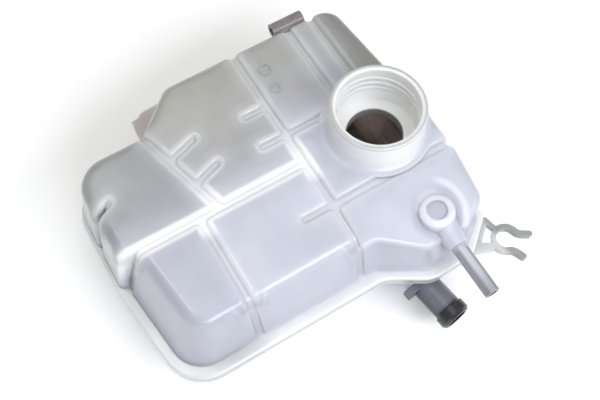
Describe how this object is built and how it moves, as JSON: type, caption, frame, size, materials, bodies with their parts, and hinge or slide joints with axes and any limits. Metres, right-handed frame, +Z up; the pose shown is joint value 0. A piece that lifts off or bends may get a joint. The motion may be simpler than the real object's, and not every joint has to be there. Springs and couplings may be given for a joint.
{
  "type": "coolant expansion tank",
  "caption": "Translucent welded plastic coolant expansion tank with pillow-like cells parted by grooves, an open threaded filler neck, a thin vent spigot, a dark hose stub and a hose clip.",
  "frame": {"origin": "on the flat underside, below the crossing of the grooves' middle", "axes": "+Z up along the filler neck, +X along the long side, +Y to the rear edge with the eyelet"},
  "size_m": [0.2576, 0.2465, 0.115],
  "materials": {
    "natural_pp": "natural translucent moulded polypropylene",
    "black_pa": "dark glass-filled moulded plastic"
  },
  "bodies": {
    "root": {"upper_shell": "natural_pp", "lower_shell": "natural_pp", "outlet_stub": "black_pa"}
  },
  "joints": []
}
